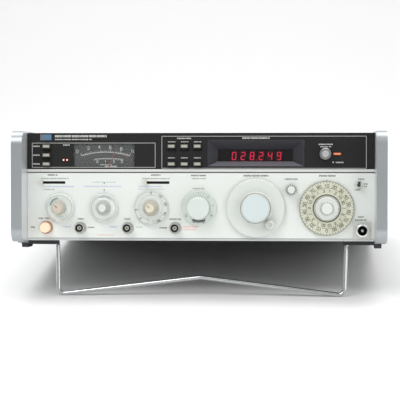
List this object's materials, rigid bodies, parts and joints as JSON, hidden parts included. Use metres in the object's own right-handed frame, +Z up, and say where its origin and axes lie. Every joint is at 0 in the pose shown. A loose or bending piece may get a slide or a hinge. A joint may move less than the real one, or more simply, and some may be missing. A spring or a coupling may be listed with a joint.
{
  "type": "signal generator",
  "caption": "Bench signal generator in a rack-width case with side-frame handles, a meter, a digit display, push buttons, concentric knobs, coaxial jacks and a folding wire bail.",
  "frame": {"origin": "middle of the footprint, on the surface that the bail and rear feet stand on", "axes": "+X to the user's right, +Y from the front panel to the back, +Z up; the case leans back by about 7.8 degrees on its open bail"},
  "size_m": [0.425, 0.4852, 0.1939],
  "materials": {
    "frame_alloy": "sand-cast, satin painted",
    "plate_alloy": "satin",
    "trim_alloy": "brushed bright",
    "cover_paint": "fine textured paint",
    "side_paint": "textured vinyl paint",
    "rear_alloy": "chromated sheet",
    "panel_black": "matt",
    "panel_pale": "matt enamel",
    "feet_plastic": "moulded",
    "bail_steel": "plated wire",
    "screw_steel": "plated",
    "meter_body": "moulded",
    "meter_plate": "matt",
    "meter_glass": "clear",
    "needle_paint": "matt",
    "button_plastic": "moulded",
    "bezel_plastic": "moulded",
    "display_filter": "tinted",
    "display_digits": "light-emitting digits on a board",
    "lamp_plastic": "lit",
    "knob_metal": "turned",
    "slider_plastic": "moulded",
    "knob_pale": "satin moulded",
    "knob_mint": "satin moulded",
    "knob_cream": "satin moulded",
    "dial_cream": "translucent, printed",
    "spinner_plastic": "satin moulded",
    "line_lamp": "lit",
    "jack_nickel": "nickel plated",
    "switch_nickel": "nickel plated",
    "lever_black": "moulded tip",
    "control_black": "moulded",
    "board_green": "glass-fibre laminate",
    "cavity_alloy": "machined",
    "plunger_brass": "turned",
    "attenuator_alloy": "machined",
    "transformer_iron": "varnished laminations",
    "fan_plastic": "moulded",
    "inlet_plastic": "moulded"
  },
  "bodies": {
    "instrument": {"handle_left": "frame_alloy", "handle_right": "frame_alloy", "side_frame_left": "frame_alloy", "side_frame_right": "frame_alloy", "side_covers": "side_paint", "top_cover": "cover_paint", "bottom_cover": "cover_paint", "rear_panel": "rear_alloy", "front_frame": "plate_alloy", "upper_panel": "panel_black", "lower_panel": "panel_pale", "trim_strip": "trim_alloy", "feet": "feet_plastic", "cover_screws": "screw_steel", "meter_case": "meter_body", "meter_scale": "meter_plate", "meter_window": "meter_glass", "display_bezel": "bezel_plastic", "display_window": "display_filter", "display_board": "display_digits", "indicator_lamps": "lamp_plastic", "coaxial_jacks": "jack_nickel", "rf_switch": "switch_nickel", "control_bodies": "control_black", "circuit_boards": "board_green", "cavity_block": "cavity_alloy", "attenuator": "attenuator_alloy", "transformer": "transformer_iron", "fan_housing": "fan_plastic", "ac_inlet": "inlet_plastic"},
    "bail": {"tilt_bail": "bail_steel"},
    "needle": {"meter_needle": "needle_paint"},
    "meter_button_1": {"meter_button_1": "button_plastic"},
    "meter_button_2": {"meter_button_2": "button_plastic"},
    "meter_button_3": {"meter_button_3": "button_plastic"},
    "counter_button_1": {"counter_button_1": "button_plastic"},
    "counter_button_2": {"counter_button_2": "button_plastic"},
    "counter_button_3": {"counter_button_3": "button_plastic"},
    "counter_button_4": {"counter_button_4": "button_plastic"},
    "counter_button_5": {"counter_button_5": "button_plastic"},
    "counter_button_6": {"counter_button_6": "button_plastic"},
    "time_base_knob": {"time_base_knob": "knob_metal"},
    "am_slider": {"am_slider": "slider_plastic"},
    "fm_slider": {"fm_slider": "slider_plastic"},
    "am_outer": {"am_outer_knob": "knob_mint"},
    "am_inner": {"am_inner_knob": "knob_cream"},
    "af_outer": {"af_outer_knob": "knob_pale"},
    "af_inner": {"af_inner_knob": "knob_cream"},
    "fm_outer": {"fm_outer_knob": "knob_pale"},
    "fm_inner": {"fm_inner_knob": "knob_cream"},
    "range_knob": {"range_knob": "knob_mint"},
    "tuning_knob": {"tuning_knob": "knob_pale"},
    "spinner": {"tuning_spinner": "spinner_plastic"},
    "plunger": {"tuning_plunger": "plunger_brass"},
    "fine_tune_knob": {"fine_tune_knob": "knob_pale"},
    "output_dial": {"output_dial": "dial_cream"},
    "output_knob": {"output_knob": "knob_pale"},
    "line_button": {"line_button": "line_lamp"},
    "output_lever": {"rf_lever": "lever_black"},
    "fan_rotor": {"fan_rotor": "fan_plastic"}
  },
  "joints": [
    {"name": "bail_fold", "type": "hinge", "parent": "instrument", "child": "bail", "pos_m": [0, -0.18647, 0.06037], "axis": [1, 0, 0], "range_deg": [0, 95]},
    {"name": "needle_swing", "type": "hinge", "parent": "instrument", "child": "needle", "pos_m": [-0.1105, -0.20032, 0.13586], "axis": [0, 0.9907, -0.1362], "range_deg": [-64, 25]},
    {"name": "meter_button_1_press", "type": "slide", "parent": "instrument", "child": "meter_button_1", "axis": [0, 0.9907, -0.1362], "range_m": [0, 0.003], "stiffness_N_per_m": 300, "springref_m": -0.003},
    {"name": "meter_button_2_press", "type": "slide", "parent": "instrument", "child": "meter_button_2", "axis": [0, 0.9907, -0.1362], "range_m": [0, 0.003], "stiffness_N_per_m": 300, "springref_m": -0.003},
    {"name": "meter_button_3_press", "type": "slide", "parent": "instrument", "child": "meter_button_3", "axis": [0, 0.9907, -0.1362], "range_m": [0, 0.003], "stiffness_N_per_m": 300, "springref_m": -0.003},
    {"name": "counter_button_1_press", "type": "slide", "parent": "instrument", "child": "counter_button_1", "axis": [0, 0.9907, -0.1362], "range_m": [0, 0.003], "stiffness_N_per_m": 300, "springref_m": -0.003},
    {"name": "counter_button_2_press", "type": "slide", "parent": "instrument", "child": "counter_button_2", "axis": [0, 0.9907, -0.1362], "range_m": [0, 0.003], "stiffness_N_per_m": 300, "springref_m": -0.003},
    {"name": "counter_button_3_press", "type": "slide", "parent": "instrument", "child": "counter_button_3", "axis": [0, 0.9907, -0.1362], "range_m": [0, 0.003], "stiffness_N_per_m": 300, "springref_m": -0.003},
    {"name": "counter_button_4_press", "type": "slide", "parent": "instrument", "child": "counter_button_4", "axis": [0, 0.9907, -0.1362], "range_m": [0, 0.003], "stiffness_N_per_m": 300, "springref_m": -0.003},
    {"name": "counter_button_5_press", "type": "slide", "parent": "instrument", "child": "counter_button_5", "axis": [0, 0.9907, -0.1362], "range_m": [0, 0.003], "stiffness_N_per_m": 300, "springref_m": -0.003},
    {"name": "counter_button_6_press", "type": "slide", "parent": "instrument", "child": "counter_button_6", "axis": [0, 0.9907, -0.1362], "range_m": [0, 0.003], "stiffness_N_per_m": 300, "springref_m": -0.003},
    {"name": "time_base_turn", "type": "hinge", "parent": "instrument", "child": "time_base_knob", "pos_m": [0.1436, -0.19623, 0.16558], "axis": [0, 0.9907, -0.1362], "range_deg": [0, 270]},
    {"name": "am_slide", "type": "slide", "parent": "instrument", "child": "am_slider", "axis": [1, 0, 0], "range_m": [0, 0.0255]},
    {"name": "fm_slide", "type": "slide", "parent": "instrument", "child": "fm_slider", "axis": [1, 0, 0], "range_m": [0, 0.0255]},
    {"name": "am_outer_turn", "type": "hinge", "parent": "instrument", "child": "am_outer", "pos_m": [-0.1616, -0.20469, 0.10406], "axis": [0, 0.9907, -0.1362], "range_deg": [-150, 150]},
    {"name": "am_inner_turn", "type": "hinge", "parent": "instrument", "child": "am_inner", "pos_m": [-0.1616, -0.20469, 0.10406], "axis": [0, 0.9907, -0.1362], "range_deg": [-150, 150]},
    {"name": "af_outer_turn", "type": "hinge", "parent": "instrument", "child": "af_outer", "pos_m": [-0.1104, -0.20469, 0.10406], "axis": [0, 0.9907, -0.1362], "range_deg": [-150, 150]},
    {"name": "af_inner_turn", "type": "hinge", "parent": "instrument", "child": "af_inner", "pos_m": [-0.1104, -0.20469, 0.10406], "axis": [0, 0.9907, -0.1362], "range_deg": [-150, 150]},
    {"name": "fm_outer_turn", "type": "hinge", "parent": "instrument", "child": "fm_outer", "pos_m": [-0.0557, -0.20469, 0.10406], "axis": [0, 0.9907, -0.1362], "range_deg": [-180, 90]},
    {"name": "fm_inner_turn", "type": "hinge", "parent": "instrument", "child": "fm_inner", "pos_m": [-0.0557, -0.20469, 0.10406], "axis": [0, 0.9907, -0.1362], "range_deg": [-150, 150]},
    {"name": "range_turn", "type": "hinge", "parent": "instrument", "child": "range_knob", "pos_m": [-0.0009, -0.20469, 0.10406], "axis": [0, 0.9907, -0.1362], "range_deg": [-150, 150]},
    {"name": "tuning_turn", "type": "hinge", "parent": "instrument", "child": "tuning_knob", "pos_m": [0.0644, -0.20469, 0.10406], "axis": [0, 0.9907, -0.1362], "range_deg": [-1815, 1815]},
    {"name": "spinner_turn", "type": "hinge", "parent": "tuning_knob", "child": "spinner", "pos_m": [0.08074, -0.20725, 0.08544], "axis": [0, 0.9907, -0.1362], "continuous": true},
    {"name": "plunger_slide", "type": "slide", "parent": "instrument", "child": "plunger", "axis": [0, 0.9907, -0.1362], "range_m": [-0.02, 0.02]},
    {"name": "fine_tune_turn", "type": "hinge", "parent": "instrument", "child": "fine_tune_knob", "pos_m": [0.1049, -0.20182, 0.12497], "axis": [0, 0.9907, -0.1362], "range_deg": [-135, 135]},
    {"name": "output_dial_turn", "type": "hinge", "parent": "instrument", "child": "output_dial", "pos_m": [0.1452, -0.20469, 0.10406], "axis": [0, 0.9907, -0.1362], "range_deg": [-165, 165]},
    {"name": "output_knob_turn", "type": "hinge", "parent": "instrument", "child": "output_knob", "pos_m": [0.1452, -0.20469, 0.10406], "axis": [0, 0.9907, -0.1362], "range_deg": [-150, 150]},
    {"name": "line_press", "type": "slide", "parent": "instrument", "child": "line_button", "axis": [0, 0.9907, -0.1362], "range_m": [0, 0.004], "stiffness_N_per_m": 300, "springref_m": -0.003},
    {"name": "output_switch_throw", "type": "hinge", "parent": "instrument", "child": "output_lever", "pos_m": [0.1816, -0.20541, 0.13111], "axis": [1, 0, 0], "range_deg": [0, 24]},
    {"name": "fan_turn", "type": "hinge", "parent": "instrument", "child": "fan_rotor", "pos_m": [0.11, 0.21272, 0.07121], "axis": [0, 0.9907, -0.1362], "continuous": true}
  ],
  "couplings": [
    {"joint": "tuning_turn", "follows": "plunger_slide", "rad_per_m": 1570.8}
  ]
}
